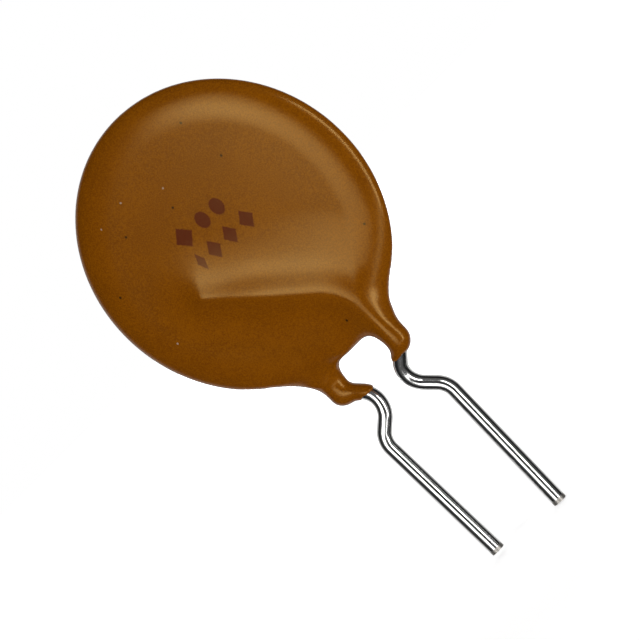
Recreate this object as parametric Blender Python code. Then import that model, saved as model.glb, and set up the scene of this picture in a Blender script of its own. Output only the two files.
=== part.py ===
"""A radial-leaded resettable fuse: a dip-coated polymer disc on two kinked wires.

Metres, +Z up. The origin is on the circuit board's top face, midway in the disc's thickness and under the
disc's centre. The front face looks along -Y, and the leads pass down through the board.
"""

import math

import bmesh
import bpy
import numpy as np
from mathutils import Matrix, Vector

MM = 0.001

# Polymer disc with its two foil electrodes
DISC_DIAMETER = 15.8 * MM
DISC_THICKNESS = 0.72 * MM
FOIL_THICKNESS = 0.05 * MM

# Tinned copper leads
WIRE_DIAMETER = 0.81 * MM
LEAD_PITCH = 5.1 * MM
PITCH_CENTRE = 0.3 * MM  # the pair of leads stands a little to the right of the disc's centre
LEAD_LENGTH = 8.15 * MM  # the front lead's, below the board's top face
BACK_LEAD_SHORTER = 0.2 * MM
TOE_IN = math.radians(1.5)  # the straight ends lean towards each other

# Each lead's run across its face of the disc, from its elbow near the lower edge to its cut end
ELBOW_INSIDE = 2.15 * MM  # from the disc's edge up to the corner that the elbow rounds
ELBOW_RADIUS = 2.9 * MM
RUN_ANGLE = math.radians(36)  # rise of the run from the horizontal
RUN_LENGTH = 7.4 * MM

# The stand-off kink in each lead, measured down from the coating's round edge
BOARD_BELOW = 5.3 * MM
KINK_START_BELOW = 1.2 * MM
KINK_NECK_BELOW = 3.02 * MM
KINK_FOOT_BELOW = 4.75 * MM
KINK_DEPTHS = {"front": 1.84 * MM, "back": 1.98 * MM}
KINK_RADIUS = 1.25 * MM
LEG_OUTSET = 0.15 * MM  # each sheathed wire stands this much further out than its straight end
NECK_SHARE = 0.48  # how far off the middle plane the wire still is at the neck

# Solder joint along each run
SOLDER_LENGTH = 5.0 * MM
SOLDER_FROM_END = 0.35 * MM
SOLDER_COVER = 0.1 * MM  # over the top of the wire
SOLDER_WIDTH = 1.9 * MM
SOLDER_FOOT = 0.06 * MM
SOLDER_CROWN = math.radians(35)  # the solder lies on the wire from here over to the other side
SOLDER_HUG = math.radians(-45)  # and reaches down its flanks to here
SOLDER_HOLLOW = (0.35, 0.2)  # where its concave flank runs, as shares of the flank's width and height

# Dipped epoxy coating
RIM_COAT = 0.85 * MM  # round the disc's edge
FACE_COAT = 0.4 * MM
WIRE_COAT = 0.22 * MM  # over the wires' runs, before the fillets thicken it
LEG_COAT = 0.2 * MM  # round the wires below the disc, before the fillets thicken it
TIP_COAT = 0.14 * MM  # where it ends on the wires
LEG_LENGTH = 2.12 * MM  # from the coating's round edge to where it ends on the wires
DRAPE_HEIGHT = 0.5 * MM  # the coating hangs off each wire like a tent, this high over the face
DRAPE_WIDTH = 3.2 * MM  # and reaches this far to either side
RIM_ROUNDING = 1.35 * MM  # how far in from the edge the rim starts to curve
OUTER_FILLET = 1.3 * MM
INNER_FILLET = 1.2 * MM
RIDGE_FILLET = 0.45 * MM
TIP_SPARE = 0.6 * MM  # more of the legs is made than is kept, so that they end in a clean edge

# Fits: real joints that touch, kept apart by a hair
SEAT_GAP = 0.01 * MM  # between stacked layers
CAVITY_GAP = 0.02 * MM  # between the coating and what it covers

# Fineness of the facets
WIRE_SIDES = 16
ARC_STEP = math.radians(9)
DISC_SIDES = 72
CROWN_STEPS = 6
CHANNEL_STEPS = 10
SKIN_CELL = 0.3 * MM
SKIN_SHARE_KEPT = 0.42
SKIN_ROUNDS = 3
SKIN_SMOOTHING = 0.5
PROBE_STEP = 0.01 * MM  # for measuring the field's slope
LEAST_SLOPE = 0.45
SHARP_ANGLE = math.radians(35)
TINY = 1e-6

# Worked out from the sizes above
WIRE_RADIUS = WIRE_DIAMETER / 2
FOIL_FACE = DISC_THICKNESS / 2 + SEAT_GAP + FOIL_THICKNESS
WIRE_PLANE = FOIL_FACE + SEAT_GAP + WIRE_RADIUS
COATED_HALF = FOIL_FACE + FACE_COAT
COATED_RADIUS = DISC_DIAMETER / 2 + RIM_COAT
CENTRE_HEIGHT = COATED_RADIUS + BOARD_BELOW  # the disc's centre over the board's top face
LEG_RADIUS = WIRE_RADIUS + LEG_COAT

# Side is -1 on the front lead, which runs on the -Y face, and 1 on the back one
LEADS = {"front": -1, "back": 1}
LEAD_LENGTHS = {"front": LEAD_LENGTH, "back": LEAD_LENGTH - BACK_LEAD_SHORTER}


def clear_scene():
    for old in list(bpy.data.objects):
        bpy.data.objects.remove(old, do_unlink=True)


def finish(name, colour, roughness, metallic):
    """Makes one plain Principled material."""
    made = bpy.data.materials.new(name)
    made.use_nodes = True
    shader = made.node_tree.nodes["Principled BSDF"]
    shader.inputs["Base Color"].default_value = (*colour, 1)
    shader.inputs["Roughness"].default_value = roughness
    shader.inputs["Metallic"].default_value = metallic
    return made


def add_object(name, mesh, material=None, parent=None):
    made = bpy.data.objects.new(name, mesh)
    bpy.context.collection.objects.link(made)
    made.parent = parent
    if material:
        mesh.materials.append(material)
    mesh.shade_smooth()
    mesh.set_sharp_from_angle(angle=SHARP_ANGLE)
    return made


def mesh_from(name, shape):
    """Turns a bmesh into a mesh with its faces outwards, and frees it."""
    bmesh.ops.recalc_face_normals(shape, faces=shape.faces)
    mesh = bpy.data.meshes.new(name)
    shape.to_mesh(mesh)
    shape.free()
    return mesh


def disc_mesh(name, radius, thickness, middle):
    """A round plate across Y, with its mid-plane at Y = middle."""
    shape = bmesh.new()
    place = Matrix.Translation((0, middle, 0)) @ Matrix.Rotation(math.pi / 2, 4, "X")
    bmesh.ops.create_cone(
        shape, cap_ends=True, segments=DISC_SIDES, radius1=radius, radius2=radius, depth=thickness, matrix=place
    )
    return mesh_from(name, shape)


def spare_mesh():
    """A block that takes away all of the coating below the legs' ends."""
    shape = bmesh.new()
    bmesh.ops.create_cube(shape, size=DISC_DIAMETER)
    bmesh.ops.translate(shape, verts=shape.verts, vec=(0, 0, below_edge(LEG_LENGTH) - DISC_DIAMETER / 2))
    return mesh_from("spare", shape)


def rounded_route(corners):
    """Joins (point, radius) corners by straight stretches and arcs, as bent wire is, and returns its points."""
    route = [corners[0][0]]
    for (before, _), (corner, radius), (after, _) in zip(corners, corners[1:], corners[2:]):
        arrive = (corner - before).normalized()
        leave = (after - corner).normalized()
        turn = arrive.angle(leave)
        start = corner - arrive * radius * math.tan(turn / 2)
        across = (leave - arrive * leave.dot(arrive)).normalized()
        steps = max(2, math.ceil(turn / ARC_STEP))
        for step in range(steps + 1):
            angle = turn * step / steps
            route.append(start + arrive * radius * math.sin(angle) + across * radius * (1 - math.cos(angle)))
    route.append(corners[-1][0])
    return route


def below_edge(drop):
    """The height, in the disc's own frame, of a place this far under the coating's round edge."""
    return -COATED_RADIUS - drop


def leg_ends(lead):
    """The top and bottom of the lead's straight stretch below the disc, in the disc's own frame."""
    side = LEADS[lead]
    leg_x = PITCH_CENTRE - side * (LEAD_PITCH / 2 + LEG_OUTSET)
    top = Vector((leg_x, side * WIRE_PLANE, below_edge(0)))
    return top, Vector((leg_x, side * WIRE_PLANE, below_edge(KINK_START_BELOW)))


def lead_corners(lead):
    """The lead's corners in the disc's own frame, from the cut end on the disc to the tip below the board."""
    side = LEADS[lead]
    _, leg_end = leg_ends(lead)
    elbow = Vector((leg_end.x, leg_end.y, ELBOW_INSIDE - DISC_DIAMETER / 2))
    run = Vector((side * math.cos(RUN_ANGLE), 0, math.sin(RUN_ANGLE)))
    neck_x = leg_end.x + side * KINK_DEPTHS[lead]
    neck = Vector((neck_x, leg_end.y * NECK_SHARE, below_edge(KINK_NECK_BELOW)))
    foot = Vector((leg_end.x + side * LEG_OUTSET, 0, below_edge(KINK_FOOT_BELOW)))
    tip_drop = BOARD_BELOW - KINK_FOOT_BELOW + LEAD_LENGTHS[lead]
    tip = foot + Vector((side * tip_drop * math.tan(TOE_IN), 0, -tip_drop))
    return [
        (elbow + run * RUN_LENGTH, 0),
        (elbow, ELBOW_RADIUS),
        (leg_end, KINK_RADIUS),
        (neck, KINK_RADIUS),
        (foot, KINK_RADIUS),
        (tip, 0),
    ]


def swept_mesh(name, route, profile):
    """Sweeps a closed (across, out) profile along a route that starts in a plane of constant Y.

    Out is the side away from the disc for the part of the route that lies on it.
    """
    shape = bmesh.new()
    side = math.copysign(1, route[0].y)
    out = Vector((0, side, 0))
    rings = []
    for place, point in enumerate(route):
        before = route[max(place - 1, 0)]
        after = route[min(place + 1, len(route) - 1)]
        if 0 < place < len(route) - 1:
            ahead = (point - before).normalized() + (after - point).normalized()
        else:
            ahead = after - before
        ahead.normalize()
        out = (out - ahead * out.dot(ahead)).normalized()
        across = ahead.cross(out)
        rings.append([shape.verts.new(point + across * a + out * b) for a, b in profile])
    for low, high in zip(rings, rings[1:]):
        for one in range(len(profile)):
            two = (one + 1) % len(profile)
            shape.faces.new((low[one], low[two], high[two], high[one]))
    shape.faces.new(rings[0])
    shape.faces.new(rings[-1])
    return mesh_from(name, shape)


def circle_profile(radius, start=0.0, turn=math.tau, points=WIRE_SIDES):
    step = turn / points
    half_step = step / 2
    return [(radius * math.cos(start + half_step + n * step), radius * math.sin(start + half_step + n * step))
            for n in range(points)]


def solder_outside(grow=0.0):
    """The solder's upper outline, from one foot over the wire to the other."""
    crown = WIRE_RADIUS + SOLDER_COVER + grow
    foot_x = SOLDER_WIDTH / 2 + grow
    foot_y = -WIRE_RADIUS + SOLDER_FOOT + grow
    step = (math.pi - 2 * SOLDER_CROWN) / CROWN_STEPS
    angles = [SOLDER_CROWN + step * n for n in range(CROWN_STEPS + 1)]
    top = [(crown * math.cos(angle), crown * math.sin(angle)) for angle in angles]
    top_x, top_y = top[0]
    hollow = (top_x + SOLDER_HOLLOW[0] * (foot_x - top_x), foot_y + SOLDER_HOLLOW[1] * (top_y - foot_y))
    right = [(foot_x, foot_y), hollow]
    left = [(-x, y) for x, y in reversed(right)]
    return right + top + left


def solder_profile():
    """The joint's section: it arches over the wire and is open below, where the wire lies on the foil."""
    bottom = -WIRE_RADIUS
    foot_x = SOLDER_WIDTH / 2
    channel = (WIRE_RADIUS + SEAT_GAP) / math.cos(math.pi / WIRE_SIDES)
    step = (math.pi - 2 * SOLDER_HUG) / CHANNEL_STEPS
    angles = [SOLDER_HUG + step * n for n in range(CHANNEL_STEPS + 1)]
    inner = [(channel * math.cos(angle), channel * math.sin(angle)) for angle in angles]
    mouth = inner[0][0]
    outer = [(mouth, bottom), (foot_x, bottom)] + solder_outside() + [(-foot_x, bottom), (-mouth, bottom)]
    return outer + inner[::-1]


def solder_route(lead, extra=0.0):
    """The straight stretch of the run that the solder holds."""
    end = lead_corners(lead)[0][0]
    elbow = lead_corners(lead)[1][0]
    along = (elbow - end).normalized()
    start = SOLDER_FROM_END - extra
    return [end + along * start, end + along * (start + SOLDER_LENGTH + 2 * extra)]


# The coating's skin is where coating_field is zero: less than zero is inside, in metres.

def blend(one, two, reach):
    """The smaller of two distances, with a fillet of about this reach where they meet."""
    share = np.clip(0.5 + 0.5 * (two - one) / reach, 0, 1)
    return two + (one - two) * share - reach * share * (1 - share)


def ease(value):
    value = np.clip(value, 0, 1)
    return value * value * (3 - 2 * value)


def distance_to_route(points, route):
    nearest = np.full(len(points), np.inf)
    for start, end in zip(route, route[1:]):
        along = end - start
        share = np.clip((points - start) @ along / (along @ along), 0, 1)
        there = start + share[:, None] * along
        nearest = np.minimum(nearest, np.linalg.norm(points - there, axis=1))
    return nearest


def plate_field(points, routes):
    """The disc's coat and the webs that join it to the legs: a flat plate with a soft rim.

    Its faces rise towards each wire, and its webs swing out of the middle plane to where the legs' wires are.
    """
    flat = points * (1, 0, 1)
    outline = np.hypot(points[:, 0], points[:, 2]) - COATED_RADIUS
    below = ease((below_edge(-FACE_COAT) - points[:, 2]) / (FACE_COAT + KINK_START_BELOW))
    half = COATED_HALF + (LEG_RADIUS - COATED_HALF) * below
    rounding = RIM_ROUNDING + (LEG_RADIUS - RIM_ROUNDING) * below
    middle = np.zeros(len(points))
    for lead, side in LEADS.items():
        leg = np.array(leg_ends(lead))
        leg_x = leg[0][0]
        beside = ease(0.5 - side * (points[:, 0] - leg_x) / LEG_RADIUS)
        reach = INNER_FILLET + (OUTER_FILLET - INNER_FILLET) * beside
        outline = blend(outline, distance_to_route(flat, leg * (1, 0, 1)) - LEG_RADIUS, reach)
        near = ease(1.5 - 2 * np.abs(points[:, 0] - leg_x) / LEAD_PITCH)
        middle += below * near * side * WIRE_PLANE
        off_wire = distance_to_route(flat, routes[lead] * (1, 0, 1))
        tent = np.clip(1 - off_wire / DRAPE_WIDTH, 0, 1) ** 2
        half += (points[:, 1] * side > 0) * (1 - below) * DRAPE_HEIGHT * tent
    rim = np.clip(outline / rounding + 1, 0, None)
    face = np.abs(points[:, 1] - middle) / half
    size = np.maximum(np.hypot(rim, face), TINY)
    steepness = np.hypot(rim / rounding, face / half) / size
    return (size - 1) / np.maximum(steepness, TINY)


def coating_field(points):
    """Signed distance from the coating's skin, near enough close to it."""
    routes = {lead: np.array(rounded_route(lead_corners(lead))) for lead in LEADS}
    skin = plate_field(points, routes)
    height = points[:, 2]
    on_leg = ease((ELBOW_INSIDE - DISC_DIAMETER / 2 - height) / ELBOW_INSIDE)
    leg_bottom = below_edge(KINK_START_BELOW)
    on_tip = ease((leg_bottom + LEG_RADIUS - height) / (LEG_LENGTH - KINK_START_BELOW + LEG_RADIUS))
    coat = WIRE_COAT + (LEG_COAT - WIRE_COAT) * on_leg + (TIP_COAT - LEG_COAT) * on_tip
    for lead, route in routes.items():
        sheath = distance_to_route(points, route) - WIRE_RADIUS - coat
        leg = distance_to_route(points, np.array(leg_ends(lead))) - LEG_RADIUS
        skin = blend(skin, blend(sheath, leg, LEG_COAT), RIDGE_FILLET)
    return np.maximum(skin, below_edge(LEG_LENGTH + TIP_SPARE) - height)


def settle_on_skin(points):
    """Moves points along the field's slope onto the coating's skin."""
    for _ in range(SKIN_ROUNDS):
        value = coating_field(points)
        slopes = []
        for probe in np.eye(3) * PROBE_STEP:
            rise = coating_field(points + probe) - coating_field(points - probe)
            slopes.append(rise / (2 * PROBE_STEP))
        slope = np.stack(slopes, axis=1)
        steepness = np.maximum((slope ** 2).sum(axis=1), LEAST_SLOPE ** 2)
        points = points - slope * (value / steepness)[:, None]
    return points


def fill_pinches(inside):
    """Fills each grid square whose corners alternate between in and out, where the skin would touch itself."""
    pinched = True
    while pinched:
        pinched = False
        for axis in range(3):
            layers = np.moveaxis(inside, axis, 0)
            corners = (layers[:, :-1, :-1], layers[:, 1:, :-1], layers[:, :-1, 1:], layers[:, 1:, 1:])
            alternate = (corners[0] == corners[3]) & (corners[1] == corners[2]) & (corners[0] != corners[1])
            for corner in corners:
                corner |= alternate
            pinched = pinched or alternate.any()


def wrapped_field(low, high):
    """Wraps the coating in quads: one point in each grid cell that its skin crosses."""
    counts = np.ceil((high - low) / SKIN_CELL).astype(int) + 1
    steps = np.stack(np.meshgrid(*[np.arange(n) for n in counts], indexing="ij"), axis=-1)
    inside = coating_field((low + steps * SKIN_CELL).reshape(-1, 3)).reshape(counts) < 0
    fill_pinches(inside)
    cells = counts - 1
    corners = [inside[i:i + cells[0], j:j + cells[1], k:k + cells[2]]
               for i in (0, 1) for j in (0, 1) for k in (0, 1)]
    filled = np.sum(corners, axis=0)
    crossed = np.argwhere((filled > 0) & (filled < 8))
    number = {tuple(cell): place for place, cell in enumerate(crossed.tolist())}
    quads = []
    for axis in range(3):
        one, two = np.roll(np.eye(3, dtype=int), -axis - 1, axis=0)[:2]
        ahead = np.diff(inside.astype(int), axis=axis)
        for edge in np.argwhere(ahead):
            around = (edge - one - two, edge - two, edge, edge - one)
            ring = [number[tuple(cell)] for cell in around]
            quads.append(ring if ahead[tuple(edge)] < 0 else ring[::-1])
    return settle_on_skin(low + (crossed + 0.5) * SKIN_CELL), quads


def evaluated_mesh(source):
    """The object's mesh with its modifiers applied, after which the object is removed."""
    graph = bpy.context.evaluated_depsgraph_get()
    mesh = bpy.data.meshes.new_from_object(source.evaluated_get(graph), depsgraph=graph)
    bpy.data.objects.remove(source, do_unlink=True)
    return mesh


def skin_mesh():
    """The coating's outside: wrapped, evened out along its field, and thinned where it is flat."""
    margin = 2 * SKIN_CELL
    reach = np.array((COATED_RADIUS, WIRE_PLANE + WIRE_DIAMETER + WIRE_COAT, COATED_RADIUS)) + margin
    low = -reach
    low[2] = below_edge(LEG_LENGTH + TIP_SPARE) - margin
    places, quads = wrapped_field(low, reach)
    shape = bmesh.new()
    verts = [shape.verts.new(place) for place in places]
    for quad in quads:
        shape.faces.new([verts[place] for place in quad])
    for _ in range(SKIN_ROUNDS):
        bmesh.ops.smooth_vert(
            shape, verts=verts, factor=SKIN_SMOOTHING, use_axis_x=True, use_axis_y=True, use_axis_z=True
        )
        settled = settle_on_skin(np.array([vert.co[:] for vert in verts]))
        for vert, place in zip(verts, settled):
            vert.co = place
    bmesh.ops.triangulate(shape, faces=shape.faces)
    skin = add_object("skin", mesh_from("skin", shape))
    thin = skin.modifiers.new("Decimate", "DECIMATE")
    thin.ratio = SKIN_SHARE_KEPT
    return evaluated_mesh(skin)


def add_cutter(name, mesh, target):
    cutter = add_object(name, mesh, parent=target.parent)
    cutter.hide_render = True
    cutter.display_type = "WIRE"
    cut = target.modifiers.new(name, "BOOLEAN")
    cut.operation = "DIFFERENCE"
    cut.solver = "EXACT"
    cut.object = cutter


def add_coating(material, parent):
    coating = add_object("epoxy_coating", skin_mesh(), material, parent)
    stack = disc_mesh("stack", DISC_DIAMETER / 2 + CAVITY_GAP, 2 * (FOIL_FACE + CAVITY_GAP), 0)
    add_cutter("stack_space", stack, coating)
    for lead in LEADS:
        route = solder_route(lead, CAVITY_GAP)
        floor = FOIL_THICKNESS + WIRE_RADIUS
        outline = solder_outside(CAVITY_GAP)
        outline = [(outline[0][0], -floor)] + outline + [(outline[-1][0], -floor)]
        add_cutter(f"{lead}_solder_space", swept_mesh("solder_space", route, outline), coating)
    for lead in LEADS:
        route = rounded_route(lead_corners(lead))
        route[0] = route[0] + (route[0] - route[1]).normalized() * CAVITY_GAP
        space = swept_mesh("lead_space", route, circle_profile(WIRE_RADIUS + CAVITY_GAP))
        add_cutter(f"{lead}_lead_space", space, coating)
    add_cutter("spare", spare_mesh(), coating)
    return coating


def add_stack(polymer, foil, parent):
    radius = DISC_DIAMETER / 2
    add_object("polymer_disc", disc_mesh("polymer_disc", radius, DISC_THICKNESS, 0), polymer, parent)
    for lead, side in LEADS.items():
        middle = side * (FOIL_FACE - FOIL_THICKNESS / 2)
        name = f"{lead}_foil"
        add_object(name, disc_mesh(name, radius, FOIL_THICKNESS, middle), foil, parent)


def add_leads(wire, solder, parent):
    for lead in LEADS:
        name = f"{lead}_lead"
        route = rounded_route(lead_corners(lead))
        add_object(name, swept_mesh(name, route, circle_profile(WIRE_RADIUS)), wire, parent)
        name = f"{lead}_solder"
        add_object(name, swept_mesh(name, solder_route(lead), solder_profile()), solder, parent)


def main():
    clear_scene()
    epoxy = finish("brown_epoxy", (0.24, 0.095, 0.012), 0.35, 0.0)
    polymer = finish("carbon_polymer", (0.02, 0.02, 0.02), 0.6, 0.0)
    foil = finish("nickel_foil", (0.6, 0.57, 0.5), 0.35, 1.0)
    wire = finish("tinned_wire", (0.7, 0.7, 0.68), 0.25, 1.0)
    solder = finish("solder", (0.55, 0.55, 0.55), 0.4, 1.0)
    centre = bpy.data.objects.new("disc_centre", None)
    bpy.context.collection.objects.link(centre)
    centre.location.z = CENTRE_HEIGHT
    add_stack(polymer, foil, centre)
    add_leads(wire, solder, centre)
    add_coating(epoxy, centre)


main()
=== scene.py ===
# %% [markdown]
# # A dip-coated resettable fuse
#
# The part is a thin disc of special plastic that has been dipped in orange-brown epoxy. One wire crosses
# its front and one its back, and the epoxy hangs over them like wet cloth over a rope. Most of what makes
# the part look real is in that coating, so this lesson spends most of its cells there.
#
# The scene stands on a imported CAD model. We load it first and measure its box, because the dressed part has
# to stay the same size.

import math

import bmesh
import bpy
import numpy as np
from mathutils import Matrix, Vector


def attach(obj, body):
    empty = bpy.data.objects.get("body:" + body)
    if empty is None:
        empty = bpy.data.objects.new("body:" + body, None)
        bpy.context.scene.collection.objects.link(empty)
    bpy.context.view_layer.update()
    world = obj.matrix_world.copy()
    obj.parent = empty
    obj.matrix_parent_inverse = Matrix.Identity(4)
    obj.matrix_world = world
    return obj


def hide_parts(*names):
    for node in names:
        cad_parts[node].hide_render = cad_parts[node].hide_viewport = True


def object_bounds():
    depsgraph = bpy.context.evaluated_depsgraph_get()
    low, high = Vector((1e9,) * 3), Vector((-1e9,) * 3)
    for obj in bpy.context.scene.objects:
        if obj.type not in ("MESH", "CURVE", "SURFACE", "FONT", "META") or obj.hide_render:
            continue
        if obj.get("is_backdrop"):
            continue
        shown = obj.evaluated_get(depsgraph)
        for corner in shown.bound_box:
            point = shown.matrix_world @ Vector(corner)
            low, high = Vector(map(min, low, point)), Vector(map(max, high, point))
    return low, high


MM = 0.001


def in_mm(lengths):
    """Lengths in millimetres, rounded for printing."""
    return [round(float(length) / MM, 2) for length in lengths]


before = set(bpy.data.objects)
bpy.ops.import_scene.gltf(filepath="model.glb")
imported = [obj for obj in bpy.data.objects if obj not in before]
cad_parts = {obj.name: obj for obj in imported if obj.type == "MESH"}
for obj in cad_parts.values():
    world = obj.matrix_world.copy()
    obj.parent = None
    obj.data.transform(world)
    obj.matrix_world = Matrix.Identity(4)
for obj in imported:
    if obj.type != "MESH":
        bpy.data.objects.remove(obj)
cad_box = [list(corner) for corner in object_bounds()]
print("CAD nodes:", sorted(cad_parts))
print("CAD box in mm:", [in_mm(corner) for corner in cad_box])

# %% [markdown]
# ## The camera
#
# The picture was taken with a long lens from a little to the right of the front face, and the camera was
# rolled so that the wires point to the lower right corner. We build the camera's three axes by hand from
# those angles. That is clearer than guessing Euler angles, and the roll is then one number.

# %% Camera
DISC_CENTRE = Vector((0, 0, 14.05)) * MM
VIEW_AZIMUTH = math.radians(25.7)
VIEW_ELEVATION = math.radians(4)
ROLL = math.radians(45)
CAMERA_DISTANCE = 250 * MM
VIEW_WIDTH = 33.93 * MM
AIM_RIGHT = 0.13 * MM
AIM_UP = -6.42 * MM
SENSOR_WIDTH = 36


def direction_to(azimuth, elevation):
    """The way from the part to something round it. The azimuth counts from the front to the right."""
    return Vector((
        math.sin(azimuth) * math.cos(elevation),
        -math.cos(azimuth) * math.cos(elevation),
        math.sin(elevation),
    ))


toward_camera = direction_to(VIEW_AZIMUTH, VIEW_ELEVATION)
level_right = Vector((math.cos(VIEW_AZIMUTH), math.sin(VIEW_AZIMUTH), 0))
level_up = toward_camera.cross(level_right)
picture_right = level_right * math.cos(ROLL) - level_up * math.sin(ROLL)
picture_up = level_right * math.sin(ROLL) + level_up * math.cos(ROLL)
aim = DISC_CENTRE + level_right * AIM_RIGHT + level_up * AIM_UP

camera_data = bpy.data.cameras.new("long_lens")
camera_data.sensor_width = SENSOR_WIDTH
camera_data.lens = SENSOR_WIDTH * CAMERA_DISTANCE / VIEW_WIDTH
camera_data.clip_start = 10 * MM
camera = bpy.data.objects.new("camera", camera_data)
bpy.context.scene.collection.objects.link(camera)
turn = Matrix((picture_right, picture_up, toward_camera)).transposed()
camera.matrix_world = Matrix.Translation(aim + toward_camera * CAMERA_DISTANCE) @ turn.to_4x4()
bpy.context.scene.camera = camera
print("Lens:", round(camera_data.lens), "mm")

# %% [markdown]
# ## Where the wires run
#
# Both the coating and the wires need the same centrelines, so they come first. Each wire is a short list of
# corners with a bend radius, as a bending tool would be set: a cut end on the disc, an elbow near its edge,
# and a kink that holds the part off the circuit board. All places are measured from the disc's centre.

# %% The corners of each wire
WIRE_RADIUS = 0.405 * MM
WIRE_PLANE = 0.835 * MM
COATED_RADIUS = 8.75 * MM
RUN_ANGLE = math.radians(37.5)
RUN_LENGTH = 7.9 * MM
ELBOW_HEIGHT = -6.05 * MM
ELBOW_RADIUS = 2.9 * MM
LEG_END_HEIGHT = -9.95 * MM
LEG_OUTSET = 0.15 * MM
NECK_HEIGHT = -11.77 * MM
NECK_SHARE = 0.48
FOOT_HEIGHT = -13.5 * MM
KINK_RADIUS = 1.25 * MM
TOE_IN = math.tan(math.radians(1.5))
SIDES = {"front": -1, "back": 1}
LEG_X = {"front": 3.0 * MM, "back": -2.4 * MM}
KINK_DEPTH = {"front": 1.84 * MM, "back": 2.06 * MM}
TIP_HEIGHT = {"front": -22.2 * MM, "back": -22.0 * MM}


def wire_corners(lead):
    """Returns (point, bend radius) pairs from the cut end on the disc to the tip of the lead."""
    side = SIDES[lead]
    plane = side * WIRE_PLANE
    leg_x = LEG_X[lead]
    elbow = Vector((leg_x, plane, ELBOW_HEIGHT))
    run = Vector((side * math.cos(RUN_ANGLE), 0, math.sin(RUN_ANGLE))) * RUN_LENGTH
    leg_end = Vector((leg_x, plane, LEG_END_HEIGHT))
    neck = Vector((leg_x + side * KINK_DEPTH[lead], plane * NECK_SHARE, NECK_HEIGHT))
    foot = Vector((leg_x + side * LEG_OUTSET, 0, FOOT_HEIGHT))
    drop = FOOT_HEIGHT - TIP_HEIGHT[lead]
    tip = foot + Vector((side * drop * TOE_IN, 0, -drop))
    return [
        (elbow + run, 0),
        (elbow, ELBOW_RADIUS),
        (leg_end, KINK_RADIUS),
        (neck, KINK_RADIUS),
        (foot, KINK_RADIUS),
        (tip, 0),
    ]


for lead in SIDES:
    print(lead, "lead ends at", in_mm(wire_corners(lead)[-1][0] + DISC_CENTRE), "mm")

# %% [markdown]
# For the coating we also need each centreline as a chain of points. An arc that touches both straight
# stretches starts at the bend radius times the tangent of half the turn before the corner.

# %% Round the corners
ARC_STEP = math.radians(6)


def rounded_route(corners):
    """Joins the corners by straight stretches and arcs and returns the points as an array."""
    route = [corners[0][0]]
    for (before, _), (corner, radius), (after, _) in zip(corners, corners[1:], corners[2:]):
        arrive = (corner - before).normalized()
        leave = (after - corner).normalized()
        turn = arrive.angle(leave)
        start = corner - arrive * radius * math.tan(turn / 2)
        across = (leave - arrive * leave.dot(arrive)).normalized()
        steps = max(2, math.ceil(turn / ARC_STEP))
        for step in range(steps + 1):
            angle = turn * step / steps
            ahead = start + arrive * radius * math.sin(angle)
            route.append(ahead + across * radius * (1 - math.cos(angle)))
    route.append(corners[-1][0])
    return np.array(route)


routes = {}
for lead in SIDES:
    route = rounded_route(wire_corners(lead))
    length = np.linalg.norm(np.diff(route, axis=0), axis=1).sum()
    print(lead, "wire is", round(length / MM, 1), "mm long in", len(route), "points")
    routes[lead] = route[route[:, 2] > NECK_HEIGHT]

# %% [markdown]
# ## The dipped coating
#
# Wet epoxy pulls itself into fillets wherever two surfaces meet. Modelling that by hand, or with bevels on
# a boolean, gives hard seams. A distance field does it for free: every part is a formula for how far a
# point is from its skin, and a soft minimum of two such distances melts them together. The formulas only
# have to be right near the skin, where the mesh will lie. A few helpers are enough.

# %% Distance helpers

def blend(one, two, reach):
    """The smaller of two distances, with a fillet of about this reach where they meet."""
    share = np.clip(0.5 + 0.5 * (two - one) / reach, 0, 1)
    return two + (one - two) * share - reach * share * (1 - share)


def ease(value):
    """A smooth step from 0 to 1."""
    value = np.clip(value, 0, 1)
    return value * value * (3 - 2 * value)


def grown(share, *spans):
    """For each pair of sizes, the one that lies this share of the way from the first to the second."""
    return [first + (second - first) * share for first, second in spans]


def distance_to_route(points, route):
    """Each point's distance from a chain of straight stretches."""
    nearest = np.full(len(points), np.inf)
    for start, end in zip(route, route[1:]):
        along = end - start
        share = np.clip((points - start) @ along / (along @ along), 0, 1)
        there = start + share[:, None] * along
        nearest = np.minimum(nearest, np.linalg.norm(points - there, axis=1))
    return nearest


print("A fillet of 1 mm lifts the skin by", -blend(0.0, 0.0, 1.0), "mm where two skins cross")

# %% [markdown]
# Where a wire crosses the disc, the wet epoxy made a tent: wide slopes to both sides, and on top of them a
# narrow crest that follows the wire itself. Both spread from the wire's cut end toward its elbow, and the
# crest rises too, so each size is a pair. A bent tube under a cloth would need a simulation. The formula
# only asks how far a point lies to the side of the wire, seen flat from the front.

# %% The tent over a wire
FLAT = (1, 0, 1)
TENT_HEIGHT = (0.42 * MM, 0.44 * MM)
TENT_WIDTH = (2.5 * MM, 4.4 * MM)
TENT_FALL = 1.7
CREST_HEIGHT = (0.06 * MM, 0.22 * MM)
CREST_WIDTH = (0.6 * MM, 0.95 * MM)
CREST_GROWTH = 3.8 * MM
CREST_SOFTNESS = 0.09 * MM


def tent_over(lead, points):
    """How much higher the coat stands at each point because of the wire, and how far off the wire it is."""
    beside = distance_to_route(points * FLAT, routes[lead] * FLAT)
    off_wire = np.hypot(beside, CREST_SOFTNESS) - CREST_SOFTNESS
    from_cut = np.linalg.norm((points - routes[lead][0]) * FLAT, axis=1)
    tent_height, tent_width = grown(ease(from_cut / RUN_LENGTH), TENT_HEIGHT, TENT_WIDTH)
    crest_height, crest_width = grown(ease(from_cut / CREST_GROWTH), CREST_HEIGHT, CREST_WIDTH)
    tent = tent_height * np.clip(1 - off_wire / tent_width, 0, 1) ** TENT_FALL
    crest = crest_height * np.exp(-(off_wire / crest_width) ** 2)
    return tent + crest, off_wire


for lead, route in routes.items():
    print(lead, "tent over the cut end:", in_mm(tent_over(lead, route[:1])[0]), "mm")

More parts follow.
